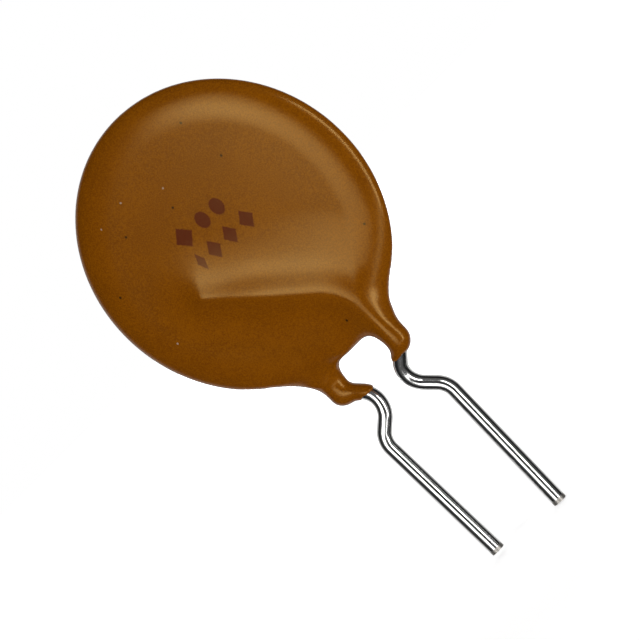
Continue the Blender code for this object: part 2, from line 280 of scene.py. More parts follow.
# %% [markdown]
# The disc's coat is a plate with a slightly domed face and a soft rim, and the tents stand on it. Below the
# disc it becomes two webs, which thin out and swing to the front or the back, to where each leg's wire is.
# Where a wire passes under the rim, the rim is rounded less, or the wire would poke through.

# %% The disc's coat and its webs
COATED_HALF = 0.75 * MM
FACE_DOME = 0.17 * MM
RIM_ROUNDING = 2.2 * MM
RIM_OVER_WIRE = 0.5
RIM_OVER_WIRE_WIDTH = 1.3 * MM
LEG_RADIUS = 0.72 * MM
LEG_HALF = 0.6 * MM
LEG_TOP = -6.6 * MM
LEG_BOTTOM = {"front": -9.79 * MM, "back": -10.15 * MM}
OUTER_FILLET = {"front": 1.3 * MM, "back": 1.7 * MM}
INNER_FILLET = 1.5 * MM
WEB_TWIST = 1.5 * MM
WEB_REACH = 1.55
SWING_TOP = -7.3 * MM
SWING_BOTTOM = -9.7 * MM
NARROW_TOP = -6.2 * MM
NARROW_BOTTOM = -9.7 * MM
TINY = 1e-6


def leg_line(lead):
    """The straight stretch of the lead just below the disc, seen flat from the front."""
    return np.array(((LEG_X[lead], 0, LEG_TOP), (LEG_X[lead], 0, LEG_BOTTOM[lead])))


def plate_field(points):
    """How far each point is from the skin of the disc's coat and webs. It is only right near the skin."""
    outline = np.hypot(points[:, 0], points[:, 2]) - COATED_RADIUS
    below = ease((SWING_TOP - points[:, 2]) / (SWING_TOP - SWING_BOTTOM))
    dome = FACE_DOME * np.clip(1 - (outline / COATED_RADIUS + 1) ** 2, 0, 1)
    half = COATED_HALF + dome + (LEG_HALF - COATED_HALF) * below
    narrow = ease((NARROW_TOP - points[:, 2]) / (NARROW_TOP - NARROW_BOTTOM))
    rounding = RIM_ROUNDING + (LEG_RADIUS - RIM_ROUNDING) * narrow
    middle = np.zeros(len(points))
    for lead, side in SIDES.items():
        beside = ease(0.5 - side * (points[:, 0] - LEG_X[lead]) / LEG_RADIUS)
        reach = INNER_FILLET + (OUTER_FILLET[lead] - INNER_FILLET) * beside
        outline = blend(outline, distance_to_route(points * FLAT, leg_line(lead)) - LEG_RADIUS, reach)
        near = ease(WEB_REACH - np.abs(points[:, 0] - LEG_X[lead]) / WEB_TWIST)
        middle += below * near * side * WIRE_PLANE
        this_side = points[:, 1] * side > 0
        tent, off_wire = tent_over(lead, points)
        half += this_side * (1 - below) * tent
        over_wire = np.exp(-(off_wire / RIM_OVER_WIRE_WIDTH) ** 2)
        rounding *= 1 - this_side * RIM_OVER_WIRE * (1 - narrow) * over_wire
    rim = np.clip(outline / rounding + 1, 0, None)
    face = np.abs(points[:, 1] - middle) / half
    size = np.maximum(np.hypot(rim, face), TINY)
    steepness = np.hypot(rim / rounding, face / half) / size
    return (size - 1) / np.maximum(steepness, TINY)


under_dome = plate_field(np.array(((0, -COATED_HALF, 3 * MM),)))
print("The dome rises", in_mm(-under_dome), "mm over a flat face, 3 mm above the disc's centre")

# %% [markdown]
# A sheath round each wire is blended into the plate. It ends below the disc with a thin, slightly ragged
# edge, because the dipped epoxy stopped there and was not trimmed. Two sine waves are ragged enough.

# %% The whole coating
WIRE_COAT = 0.02 * MM
TIP_COAT = 0.07 * MM
TIP_TAPER = 1.4 * MM
TIP_ROUNDING = 0.1 * MM
COAT_END = {"front": -10.65 * MM, "back": -11.07 * MM}
RAGGED = 0.07 * MM
RAGGED_WAVES = (0.13 * MM, 0.11 * MM)
RIDGE_FILLET = 0.15 * MM
TIP_FILLET = 0.5 * MM


def coating_field(points):
    """How far each point is from the coating's skin, below zero inside. It is only right near the skin."""
    skin = plate_field(points)
    for lead, route in routes.items():
        on_tip = ease((COAT_END[lead] + TIP_TAPER - points[:, 2]) / TIP_TAPER)
        coat = WIRE_COAT + (TIP_COAT - WIRE_COAT) * on_tip
        sheath = distance_to_route(points, route) - WIRE_RADIUS - coat
        skin = blend(skin, sheath, RIDGE_FILLET + (TIP_FILLET - RIDGE_FILLET) * on_tip)
    first_wave = np.sin(points[:, 0] / RAGGED_WAVES[0])
    second_wave = np.sin(points[:, 1] / RAGGED_WAVES[1] + 1)
    ragged = RAGGED * (first_wave + second_wave) / 2
    coat_end = np.where(points[:, 0] > 0, COAT_END["front"], COAT_END["back"])
    past_tip = coat_end + ragged - points[:, 2]
    return -blend(-skin, -past_tip, TIP_ROUNDING)


for lead, side in SIDES.items():
    wire_top = routes[lead][:1] + (0, side * WIRE_RADIUS, 0)
    print(lead, "wire has", in_mm(-coating_field(wire_top)), "mm of epoxy over its cut end")

# %% [markdown]
# To turn the field into a mesh we look at a grid of points and note which lie inside. Each grid cell that
# the skin crosses gets one point, and neighbouring cells are joined by quads. Separate meshes for disc, webs
# and sheaths would leave seams between them, and this way gives quads of one size all over. The points are
# then slid along the field's slope onto the skin.

# %% Slide points onto the skin
PROBE = 0.01 * MM
LEAST_STEEPNESS = 0.2


def settle(points, rounds=1):
    """Moves points along the field's slope onto the coating's skin."""
    for _ in range(rounds):
        value = coating_field(points)
        ahead = [coating_field(points + probe) for probe in np.eye(3) * PROBE]
        slope = np.stack([(there - value) / PROBE for there in ahead], axis=1)
        steepness = np.maximum((slope ** 2).sum(axis=1), LEAST_STEEPNESS)
        points = points - slope * (value / steepness)[:, None]
    return points


# %% Wrap the skin in quads
CELL = 0.22 * MM
GRID_LOW = np.array((-9.2, -1.9, -11.3)) * MM
GRID_HIGH = np.array((9.2, 1.9, 9.2)) * MM
counts = np.ceil((GRID_HIGH - GRID_LOW) / CELL).astype(int) + 1
steps = np.stack(np.meshgrid(*[np.arange(n) for n in counts], indexing="ij"), axis=-1)
inside = coating_field((GRID_LOW + steps * CELL).reshape(-1, 3)).reshape(counts) < 0
cells = counts - 1
corners = [inside[i:i + cells[0], j:j + cells[1], k:k + cells[2]]
           for i in (0, 1) for j in (0, 1) for k in (0, 1)]
filled = np.sum(corners, axis=0)
crossed = np.argwhere((filled > 0) & (filled < len(corners)))
number = {tuple(cell): place for place, cell in enumerate(crossed.tolist())}
quads = []
for axis in range(3):
    one, two = np.roll(np.eye(3, dtype=int), -axis - 1, axis=0)[:2]
    change = np.diff(inside.astype(int), axis=axis)
    for edge in np.argwhere(change):
        ring = [number[tuple(cell)] for cell in (edge - one - two, edge - two, edge, edge - one)]
        quads.append(ring if change[tuple(edge)] < 0 else ring[::-1])
print("The grid has", inside.size, "points and the skin", len(quads), "quads")

# %% [markdown]
# The quads still have the grid's steps in them. Smoothing evens them out and settling puts them back on the
# skin, once as they are and once more after a subdivision, which makes them fine enough for a long smooth
# highlight. Where the legs leave the disc the field has a faint crease. There alone the points are smoothed
# many more times, most in the middle of the band and less toward its edges, so that no step is left.

# %% Even out the quads and refine them
ROOT_MIDDLE = -7.9 * MM
ROOT_REACH = 1.7 * MM
ROOT_ROUNDS = 30


def smooth(verts):
    """Moves each of these points halfway to the middle of its neighbours."""
    bmesh.ops.smooth_vert(shape, verts=verts, factor=0.5, use_axis_x=True, use_axis_y=True, use_axis_z=True)


shape = bmesh.new()
points = [shape.verts.new(place) for place in settle(GRID_LOW + (crossed + 0.5) * CELL, rounds=3)]
for quad in quads:
    shape.faces.new([points[place] for place in quad])
for fine in (False, True):
    if fine:
        bmesh.ops.subdivide_edges(shape, edges=shape.edges, cuts=1, use_grid_fill=True)
    for _ in range(2):
        smooth(shape.verts)
        settled = settle(np.array([vert.co[:] for vert in shape.verts]))
        for vert, place in zip(shape.verts, settled):
            vert.co = place
shape.verts.ensure_lookup_table()
heights = np.array([vert.co.z for vert in shape.verts])
root_weight = 1 - np.abs(heights - ROOT_MIDDLE) / ROOT_REACH
for step in range(ROOT_ROUNDS):
    smooth([shape.verts[n] for n in np.flatnonzero(root_weight > step / ROOT_ROUNDS)])
print("Points in the legs' roots:", np.count_nonzero(root_weight > 0))

# %% Make the coating's mesh
bmesh.ops.recalc_face_normals(shape, faces=shape.faces)
bmesh.ops.translate(shape, verts=shape.verts, vec=DISC_CENTRE)
coating_mesh = bpy.data.meshes.new("dipped_coating")
shape.to_mesh(coating_mesh)
shape.free()
coating_mesh.shade_smooth()
coating = bpy.data.objects.new("dipped_coating", coating_mesh)
bpy.context.scene.collection.objects.link(coating)
print("Coating:", len(coating_mesh.polygons), "faces")

# %% [markdown]
# ## Small helpers for node trees
#
# Wires and materials are both built from nodes. The first helper adds one node, sets its options, and fills
# each input with a value or a link, so that a tree reads from top to bottom. The others do the same for the
# few kinds of node that come up again and again, and return the result, ready to be linked on.

# %% Node helpers

def add_node(tree, kind, inputs=None, **options):
    """Adds a node. Inputs map a socket's name or number to a value or to another node's output."""
    made = tree.nodes.new(kind)
    for option, value in options.items():
        setattr(made, option, value)
    for socket, value in (inputs or {}).items():
        if isinstance(value, bpy.types.NodeSocket):
            tree.links.new(value, made.inputs[socket])
        else:
            made.inputs[socket].default_value = value
    return made


def add_socket(tree, name, kind, value=None, output=False):
    """Adds a named input or output to a node group."""
    made = tree.interface.new_socket(name, in_out="OUTPUT" if output else "INPUT", socket_type=kind)
    if value is not None:
        made.default_value = value


def calculate(tree, operation, *values):
    """One step of arithmetic on one or two numbers."""
    return add_node(tree, "ShaderNodeMath", dict(enumerate(values)), operation=operation).outputs["Value"]


def remap(tree, value, old, new, **options):
    """Turns the old range of a value into the new one, and stops at both ends."""
    return add_node(tree, "ShaderNodeMapRange", {
        "Value": value, "From Min": old[0], "From Max": old[1], "To Min": new[0], "To Max": new[1],
    }, **options).outputs["Result"]


def mix_colours(tree, share, first, second, **options):
    """Mixes two colours. The Mix node's colour sockets share their names, so they go by number."""
    return add_node(tree, "ShaderNodeMix", {
        "Factor": share, 6: first, 7: second,
    }, data_type="RGBA", **options).outputs[2]


# %% Material helpers

def start_finish(name, constants):
    """A new material with these constants on its shader. Returns it, its tree and that shader."""
    made = bpy.data.materials.new(name)
    made.use_nodes = True
    shader = made.node_tree.nodes["Principled BSDF"]
    for socket, value in constants.items():
        shader.inputs[socket].default_value = value
    return made, made.node_tree, shader


def add_relief(tree, shader, height, strength, distance):
    """Lets a height tilt the light on the surface, as grooves and bumps would."""
    bump = add_node(tree, "ShaderNodeBump", {"Height": height, "Strength": strength, "Distance": distance})
    tree.links.new(bump.outputs["Normal"], shader.inputs["Normal"])


# %% [markdown]
# ## The wires
#
# A lead follows a path, so Geometry Nodes make it. The object starts as a bare chain of edges with two
# numbers on each corner: its bend radius and how wide the wire is there. Fillet Curve rounds the corners as
# the bending tool does, and Curve to Mesh sweeps a circle along them.

# %% The wire tree's inputs
wire_tree = bpy.data.node_groups.new("drawn_wire", "GeometryNodeTree")
add_socket(wire_tree, "Corners", "NodeSocketGeometry")
add_socket(wire_tree, "Wire Radius", "NodeSocketFloat", WIRE_RADIUS)
add_socket(wire_tree, "Facets", "NodeSocketInt", 48)
add_socket(wire_tree, "Points In A Bend", "NodeSocketInt", 20)
add_socket(wire_tree, "Finish", "NodeSocketMaterial")
add_socket(wire_tree, "Wire", "NodeSocketGeometry", output=True)
start = add_node(wire_tree, "NodeGroupInput")
bend_radius = add_node(wire_tree, "GeometryNodeInputNamedAttribute", {"Name": "bend_radius"},
                       data_type="FLOAT")
width = add_node(wire_tree, "GeometryNodeInputNamedAttribute", {"Name": "width"}, data_type="FLOAT")
print("The drawn wire tree asks for", [item.name for item in wire_tree.interface.items_tree])

# %% Bend the chain
chain = add_node(wire_tree, "GeometryNodeMeshToCurve", {"Mesh": start.outputs["Corners"]})
bent = add_node(wire_tree, "GeometryNodeFilletCurve", {
    "Curve": chain.outputs["Curve"],
    "Count": start.outputs["Points In A Bend"],
    "Radius": bend_radius.outputs["Attribute"],
}, mode="POLY")
sized = add_node(wire_tree, "GeometryNodeSetCurveRadius", {
    "Curve": bent.outputs["Curve"], "Radius": width.outputs["Attribute"],
})
print("Bending takes", len(wire_tree.nodes), "nodes with the inputs")

# %% [markdown]
# The drawing lines in the metal have to follow it round the bends, so the tree also stores where each point
# lies: X and Y across the wire, and Z along it. Z counts from the tip, because that is where the finish
# changes. Both parts are captured before the sweep and put together after it.

# %% Sweep the circle and keep each point's place
along = add_node(wire_tree, "GeometryNodeSplineParameter")
whole = add_node(wire_tree, "GeometryNodeCurveLength", {"Curve": sized.outputs["Curve"]})
from_tip = calculate(wire_tree, "SUBTRACT", whole.outputs["Length"], along.outputs["Length"])
route_kept = add_node(wire_tree, "GeometryNodeCaptureAttribute", {"Geometry": sized.outputs["Curve"]})
route_kept.capture_items.new("FLOAT", "From Tip")
wire_tree.links.new(from_tip, route_kept.inputs["From Tip"])
circle = add_node(wire_tree, "GeometryNodeCurvePrimitiveCircle", {
    "Resolution": start.outputs["Facets"], "Radius": start.outputs["Wire Radius"],
})
place = add_node(wire_tree, "GeometryNodeInputPosition")
circle_kept = add_node(wire_tree, "GeometryNodeCaptureAttribute", {"Geometry": circle.outputs["Curve"]})
circle_kept.capture_items.new("VECTOR", "Across")
wire_tree.links.new(place.outputs["Position"], circle_kept.inputs["Across"])
swept = add_node(wire_tree, "GeometryNodeCurveToMesh", {
    "Curve": route_kept.outputs["Geometry"],
    "Profile Curve": circle_kept.outputs["Geometry"],
    "Fill Caps": True,
})
across = add_node(wire_tree, "ShaderNodeSeparateXYZ", {"Vector": circle_kept.outputs["Across"]})
wire_place = add_node(wire_tree, "ShaderNodeCombineXYZ", {
    "X": across.outputs["X"], "Y": across.outputs["Y"], "Z": route_kept.outputs["From Tip"],
})
marked = add_node(wire_tree, "GeometryNodeStoreNamedAttribute", {
    "Geometry": swept.outputs["Mesh"], "Name": "wire_place", "Value": wire_place.outputs["Vector"],
}, data_type="FLOAT_VECTOR", domain="POINT")
print("With the sweep it has", len(wire_tree.nodes), "nodes")

# %% Shade and finish the wire
SHARP_ANGLE = math.radians(40)
edge_angle = add_node(wire_tree, "GeometryNodeInputMeshEdgeAngle")
sharp = add_node(wire_tree, "FunctionNodeCompare", {
    "A": edge_angle.outputs["Unsigned Angle"], "B": SHARP_ANGLE,
}, data_type="FLOAT", operation="GREATER_THAN")
shaded = add_node(wire_tree, "GeometryNodeSetShadeSmooth", {
    "Geometry": marked.outputs["Geometry"], "Selection": sharp.outputs["Result"], "Shade Smooth": False,
}, domain="EDGE")
real = add_node(wire_tree, "GeometryNodeRealizeInstances", {"Geometry": shaded.outputs["Geometry"]})
finished = add_node(wire_tree, "GeometryNodeSetMaterial", {
    "Geometry": real.outputs["Geometry"], "Material": start.outputs["Finish"],
})
add_node(wire_tree, "NodeGroupOutput", {"Wire": finished.outputs["Geometry"]})
print("The drawn wire tree has", len(wire_tree.nodes), "nodes")

# %% [markdown]
# The tips were cut with shears. That leaves a shallow groove and then a lip a little wider than the wire.
# So the tip's corner gives way to four, each with its distance from the end and its share of the width.

# %% Make both wires
TIP_SHAPE = ((0.30 * MM, 1.0), (0.24 * MM, 0.93), (0.18 * MM, 1.12), (0.0, 1.08))
wire_finish, wire_finish_tree, wire_shader = start_finish("tinned_copper", {"Metallic": 1.0})
wires = {}
for lead in SIDES:
    corners = wire_corners(lead)
    tip = corners[-1][0]
    back = (corners[-2][0] - tip).normalized()
    stations = [(point, radius, 1.0) for point, radius in corners[:-1]]
    stations += [(tip + back * rise, 0, share) for rise, share in TIP_SHAPE]
    mesh = bpy.data.meshes.new(f"{lead}_wire_corners")
    mesh.from_pydata([point + DISC_CENTRE for point, _, _ in stations],
                     [(n, n + 1) for n in range(len(stations) - 1)], [])
    for name, column in (("bend_radius", 1), ("width", 2)):
        values = mesh.attributes.new(name, "FLOAT", "POINT")
        values.data.foreach_set("value", [station[column] for station in stations])
    wire = bpy.data.objects.new(f"{lead}_wire", mesh)
    bpy.context.scene.collection.objects.link(wire)
    drawn = wire.modifiers.new("drawn_wire", "NODES")
    drawn.node_group = wire_tree
    for socket in wire_tree.interface.items_tree:
        if socket.name == "Finish":
            drawn[socket.identifier] = wire_finish
    graph = bpy.context.evaluated_depsgraph_get()
    plain = bpy.data.meshes.new_from_object(wire.evaluated_get(graph), depsgraph=graph)
    wire.modifiers.clear()
    wire.data = plain
    wires[lead] = wire
    print(lead, "wire:", len(plain.polygons), "faces, finish", [slot.name for slot in plain.materials])

# %% [markdown]
# ## Surface effects as node groups
#
# Real finishes are never even. Two groups hold what more than one finish here needs: a fine grain that
# rocks the surface and its gloss a little, and a soft-edged spot, which serves for the printed marks and
# for specks of dust caught in the epoxy.

# %% Fine grain group
grain = bpy.data.node_groups.new("fine_grain", "ShaderNodeTree")
add_socket(grain, "Vector", "NodeSocketVector")
add_socket(grain, "Grain Size", "NodeSocketFloat", 0.3 * MM)
add_socket(grain, "Wave Size", "NodeSocketFloat", 3 * MM)
add_socket(grain, "Wave Share", "NodeSocketFloat", 0.5)
add_socket(grain, "Height", "NodeSocketFloat", output=True)
grain_in = add_node(grain, "NodeGroupInput")
fine_noise = add_node(grain, "ShaderNodeTexNoise", {
    "Vector": grain_in.outputs["Vector"],
    "Scale": calculate(grain, "DIVIDE", 1.0, grain_in.outputs["Grain Size"]),
    "Detail": 2.0, "Roughness": 0.6,
})
wave_noise = add_node(grain, "ShaderNodeTexNoise", {
    "Vector": grain_in.outputs["Vector"],
    "Scale": calculate(grain, "DIVIDE", 1.0, grain_in.outputs["Wave Size"]),
    "Detail": 2.0,
})
both_noises = add_node(grain, "ShaderNodeMix", {
    "Factor": grain_in.outputs["Wave Share"],
    "A": fine_noise.outputs["Fac"],
    "B": wave_noise.outputs["Fac"],
}, data_type="FLOAT")
add_node(grain, "NodeGroupOutput", {"Height": both_noises.outputs["Result"]})
print("Grain group:", [item.name for item in grain.interface.items_tree])

# %% [markdown]
# The spot's shape is a matter of how a point's distance from the centre is measured. The square root of the
# sum of squares gives an ellipse and the plain sum of both distances a lozenge, and Corners picks between
# the two.

# %% Soft spot group
spot = bpy.data.node_groups.new("soft_spot", "ShaderNodeTree")
add_socket(spot, "Vector", "NodeSocketVector")
add_socket(spot, "Centre", "NodeSocketVector")
add_socket(spot, "Half Width", "NodeSocketFloat", 0.2 * MM)
add_socket(spot, "Half Height", "NodeSocketFloat", 0.2 * MM)
add_socket(spot, "Softness", "NodeSocketFloat", 0.2)
add_socket(spot, "Corners", "NodeSocketFloat", 0.0)
add_socket(spot, "Mask", "NodeSocketFloat", output=True)
spot_in = add_node(spot, "NodeGroupInput")
from_centre = add_node(spot, "ShaderNodeVectorMath", {
    0: spot_in.outputs["Vector"], 1: spot_in.outputs["Centre"],
}, operation="SUBTRACT")
parts = add_node(spot, "ShaderNodeSeparateXYZ", {"Vector": from_centre.outputs["Vector"]})
wide = calculate(spot, "DIVIDE", parts.outputs["X"], spot_in.outputs["Half Width"])
tall = calculate(spot, "DIVIDE", parts.outputs["Z"], spot_in.outputs["Half Height"])
lozenge = calculate(spot, "ADD", calculate(spot, "ABSOLUTE", wide), calculate(spot, "ABSOLUTE", tall))
squares = calculate(spot, "ADD", calculate(spot, "POWER", wide, 2.0), calculate(spot, "POWER", tall, 2.0))
form = add_node(spot, "ShaderNodeMix", {
    "Factor": spot_in.outputs["Corners"], "A": calculate(spot, "SQRT", squares), "B": lozenge,
}, data_type="FLOAT")
edge_low = calculate(spot, "SUBTRACT", 1.0, spot_in.outputs["Softness"])
edge_high = calculate(spot, "ADD", 1.0, spot_in.outputs["Softness"])
fade = remap(spot, form.outputs["Result"], (edge_low, edge_high), (1.0, 0.0),
             interpolation_type="SMOOTHSTEP")
add_node(spot, "NodeGroupOutput", {"Mask": fade})
print("Spot group:", [item.name for item in spot.interface.items_tree])

# %% [markdown]
# ## The epoxy
#
# The epoxy is an opaque orange-brown with a satin gloss. Its sheen looks amber and not white, so the
# specular tint is warm. Its colour drifts a little, as if it lay thicker in places, and a fine orange-peel
# grain breaks up the highlights. One grain group drives both, so that they agree.

# %% Epoxy colour
EPOXY = (0.215, 0.063, 0.0, 1)
EPOXY_THICK = (0.14, 0.037, 0.0, 1)
EPOXY_SHEEN = (1, 0.69, 0.25, 1)
THIN_TO_THICK = (0.39, 0.6)
THICK_SHARE = (0.9, 0.0)
epoxy, epoxy_tree, epoxy_shader = start_finish("dipped_epoxy", {
    "Specular IOR Level": 0.48, "Specular Tint": EPOXY_SHEEN,
})
on_epoxy = add_node(epoxy_tree, "ShaderNodeTexCoord").outputs["Object"]
peel = add_node(epoxy_tree, "ShaderNodeGroup", {
    "Vector": on_epoxy, "Grain Size": 0.08 * MM, "Wave Size": 2.5 * MM, "Wave Share": 0.2,
}, node_tree=grain).outputs["Height"]
thickness = remap(epoxy_tree, peel, THIN_TO_THICK, THICK_SHARE)
epoxy_colour = mix_colours(epoxy_tree, thickness, EPOXY, EPOXY_THICK)
print("Epoxy between", EPOXY[:3], "and", EPOXY_THICK[:3])

# %% [markdown]
# The face carries two short rows of ink. An image texture would need a picture file. The rows here are
# plain filled shapes instead, made by the spot group, so that the place looks printed and says nothing. A
# little noise shakes the place that each spot reads, which frays the edge of the ink.

# %% Spots on the front face
EDGE_NOISE = 0.12 * MM
EDGE_SHAKE = 0.07 * MM
frayed = add_node(epoxy_tree, "ShaderNodeTexNoise", {
    "Vector": on_epoxy, "Scale": 1 / EDGE_NOISE, "Detail": 2.0,
})
shaken = add_node(epoxy_tree, "ShaderNodeVectorMath", {
    0: frayed.outputs["Color"], 1: (EDGE_SHAKE, EDGE_SHAKE, EDGE_SHAKE), 2: on_epoxy,
}, operation="MULTIPLY_ADD")
epoxy_axes = add_node(epoxy_tree, "ShaderNodeSeparateXYZ", {"Vector": on_epoxy})
on_front = calculate(epoxy_tree, "LESS_THAN", epoxy_axes.outputs["Y"], 0.0)


def spots_on_front(spots, softness):
    """One mask for (x, height, half width, half height, corners) spots in mm, on the front face alone."""
    mask = 0.0
    for x, height, half_width, half_height, corners in spots:
        made = add_node(epoxy_tree, "ShaderNodeGroup", {
            "Vector": shaken.outputs["Vector"], "Centre": (x * MM, 0, height * MM),
            "Half Width": half_width * MM, "Half Height": half_height * MM,
            "Softness": softness, "Corners": corners,
        }, node_tree=spot)
        mask = calculate(epoxy_tree, "MAXIMUM", mask, made.outputs["Mask"])
    return calculate(epoxy_tree, "MULTIPLY", mask, on_front)


# %% Printed marks
UPPER_ROW = 15.85
LOWER_ROW = 14.3
MARKS = (
    (-1.60, UPPER_ROW, 0.62, 0.66, 1.0),
    (-0.10, UPPER_ROW, 0.40, 0.50, 0.0),
    (1.05, UPPER_ROW, 0.40, 0.50, 0.0),
    (-1.85, LOWER_ROW, 0.26, 0.56, 1.0),
    (-0.80, LOWER_ROW, 0.46, 0.60, 1.0),
    (0.45, LOWER_ROW, 0.46, 0.60, 1.0),
    (1.75, LOWER_ROW, 0.50, 0.60, 1.0),
)
INK_COVER = 0.97
ink = calculate(epoxy_tree, "MULTIPLY", spots_on_front(MARKS, softness=0.1), INK_COVER)
print(len(MARKS), "printed marks")

# %% [markdown]
# A few specks of dust are caught in the epoxy, dark ones and pale ones. They reuse the spot group, each
# with a place on the front face, so the next dip would only need another list.

# %% Specks
DARK_SIZE = 0.075
PALE_SIZE = 0.7 * DARK_SIZE
DARK_SPECKS = (
    (-4.06, 18.0), (-0.84, 17.4), (2.95, 20.3), (3.3, 17.6), (1.79, 6.75), (6.3, 9.8), (-6.9, 15.9),
)
PALE_SPECKS = ((-0.45, 18.5), (-2.85, 19.5), (-4.8, 19.2), (-6.4, 12.0), (5.2, 5.9))


def specks(places, size):
    """One mask for several round specks."""
    return spots_on_front([(x, height, size, size, 0.0) for x, height in places], softness=0.5)


dark_dust = specks(DARK_SPECKS, DARK_SIZE)
pale_dust = specks(PALE_SPECKS, PALE_SIZE)
print(len(DARK_SPECKS), "dark specks and", len(PALE_SPECKS), "pale ones")

# %% Finish the epoxy
INK = (0.065, 0.0, 0.0, 1)
DARK_DUST = (0.03, 0.012, 0.002, 1)
PALE_DUST = (0.32, 0.22, 0.15, 1)
EPOXY_ROUGHNESS = 0.21
INK_ROUGHNESS = 0.27
PEEL_STRENGTH = 0.5
PEEL_DEPTH = 0.012 * MM
for mask, colour in ((ink, INK), (dark_dust, DARK_DUST), (pale_dust, PALE_DUST)):
    epoxy_colour = mix_colours(epoxy_tree, mask, epoxy_colour, colour)
epoxy_tree.links.new(epoxy_colour, epoxy_shader.inputs["Base Color"])
epoxy_gloss = remap(epoxy_tree, ink, (0.0, 1.0), (EPOXY_ROUGHNESS, INK_ROUGHNESS))
epoxy_tree.links.new(epoxy_gloss, epoxy_shader.inputs["Roughness"])
add_relief(epoxy_tree, epoxy_shader, peel, PEEL_STRENGTH, PEEL_DEPTH)
coating_mesh.materials.append(epoxy)
print("Epoxy finish:", len(epoxy_tree.nodes), "nodes")

# %% [markdown]
# ## The tinned wire
#
# Drawn wire has fine lines along it, and the tin over them is bright but not a perfect mirror. The lines
# read the place on the wire that the wire tree stored, squeezed along its length, so they run round the
# kinks without a seam. The shears wiped the tin off the last stretch, which is duller and darker.

# %% Lines along the wire
LINE_WIDTH = 0.05 * MM
LINE_SQUEEZE = 0.015
VALLEY_TIN = (0.62, 0.62, 0.61, 1)
RIDGE_TIN = (0.88, 0.88, 0.87, 1)
on_wire = add_node(wire_finish_tree, "ShaderNodeAttribute", attribute_name="wire_place").outputs["Vector"]
stretched = add_node(wire_finish_tree, "ShaderNodeMapping", {
    "Vector": on_wire, "Scale": (1, 1, LINE_SQUEEZE),
}, vector_type="POINT")
lines = add_node(wire_finish_tree, "ShaderNodeGroup", {
    "Vector": stretched.outputs["Vector"],
    "Grain Size": LINE_WIDTH, "Wave Size": 0.4 * MM, "Wave Share": 0.3,
}, node_tree=grain).outputs["Height"]
tin = mix_colours(wire_finish_tree, lines, VALLEY_TIN, RIDGE_TIN)
print("Lines of", in_mm([LINE_WIDTH]), "mm, stretched", round(1 / LINE_SQUEEZE), "times along the wire")

# %% Finish the wire
SHEARED = (0.42, 0.4, 0.37, 1)
SHEARED_EDGE = (0.2 * MM, 0.28 * MM)
SHEARED_ROUGHNESS = 0.3
LINE_HEIGHTS = (0.3, 0.7)
TIN_ROUGHNESS = (0.22, 0.14)
LINE_STRENGTH = 0.08
LINE_DEPTH = 0.005 * MM
wire_axes = add_node(wire_finish_tree, "ShaderNodeSeparateXYZ", {"Vector": on_wire})
sheared = remap(wire_finish_tree, wire_axes.outputs["Z"], SHEARED_EDGE, (1.0, 0.0))
wire_colour = mix_colours(wire_finish_tree, sheared, tin, SHEARED)
wire_finish_tree.links.new(wire_colour, wire_shader.inputs["Base Color"])
tin_gloss = remap(wire_finish_tree, lines, LINE_HEIGHTS, TIN_ROUGHNESS)
tip_gloss = calculate(wire_finish_tree, "MULTIPLY", sheared, SHEARED_ROUGHNESS)
wire_gloss = calculate(wire_finish_tree, "ADD", tin_gloss, tip_gloss)
wire_finish_tree.links.new(wire_gloss, wire_shader.inputs["Roughness"])
add_relief(wire_finish_tree, wire_shader, lines, LINE_STRENGTH, LINE_DEPTH)
print("Wire finish:", len(wire_finish_tree.nodes), "nodes")

# %% [markdown]
# ## What lies inside
#
# The polymer disc, its foils and the solder can't be seen, but a model that is cut open should show real
# finishes there too. Each takes a dark and a light colour that the grain group mixes. A row gives the
# nodes, both colours, metallic, roughness and the grain's size in millimetres.

# %% Hidden finishes
HIDDEN = {
    "carbon_polymer": (("polymer_disc",), (0.012, 0.012, 0.013), (0.03, 0.03, 0.031), 0.0, 0.6, 0.2),
    "nickel_foil": (("front_foil", "back_foil"), (0.5, 0.48, 0.43), (0.66, 0.63, 0.56), 1.0, 0.36, 0.1),
    "dull_solder": (("front_solder", "back_solder"), (0.42, 0.42, 0.43), (0.6, 0.6, 0.6), 1.0, 0.42, 0.15),
}
for name, (nodes, dark, light, metallic, roughness, size) in HIDDEN.items():
    finish, tree, shader = start_finish(name, {"Metallic": metallic, "Roughness": roughness})
    where = add_node(tree, "ShaderNodeTexCoord")
    speckle = add_node(tree, "ShaderNodeGroup", {
        "Vector": where.outputs["Object"], "Grain Size": size * MM, "Wave Size": 2 * MM, "Wave Share": 0.4,
    }, node_tree=grain).outputs["Height"]
    tree.links.new(mix_colours(tree, speckle, (*dark, 1), (*light, 1)), shader.inputs["Base Color"])
    add_relief(tree, shader, speckle, strength=0.2, distance=0.02 * MM)
    for node in nodes:
        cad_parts[node].material_slots[0].material = finish
    print(name, "on", ", ".join(nodes))

# %% [markdown]
# ## Put the pieces on the frame
#
# The fine coating stands for the CAD coating, and each wire for its CAD lead. Nothing moves in this part,
# so every piece rides on the one body. The CAD pieces that are replaced get the same finishes, so that
# nothing plain is left in the scene.

# %% Ride, replace and slot
for piece, node, slot_name, finish in (
    (coating, "epoxy_coating", "epoxy", epoxy),
    (wires["front"], "front_lead", "tinned_wire", wire_finish),
    (wires["back"], "back_lead", "tinned_wire", wire_finish),
):
    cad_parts[node].material_slots[0].material = finish
    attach(piece, "root")
    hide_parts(node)
    print(piece.name, "stands for", node)

# %% [markdown]
# ## World, floor and lamps
#
# A bright wire shows nothing but its surroundings, so those are designed too. The world is white to the
# camera. In reflections it is the same room with what stands round a camera: the dark lens in the middle, a
# dim space and then a dark gap beside it, a bright ring well past the side, and a dull backdrop behind. Each
# is a matter of the angle from the camera's axis, which one dot product gives. A row here is that angle, as
# a share of half a turn, and how bright the room is there.

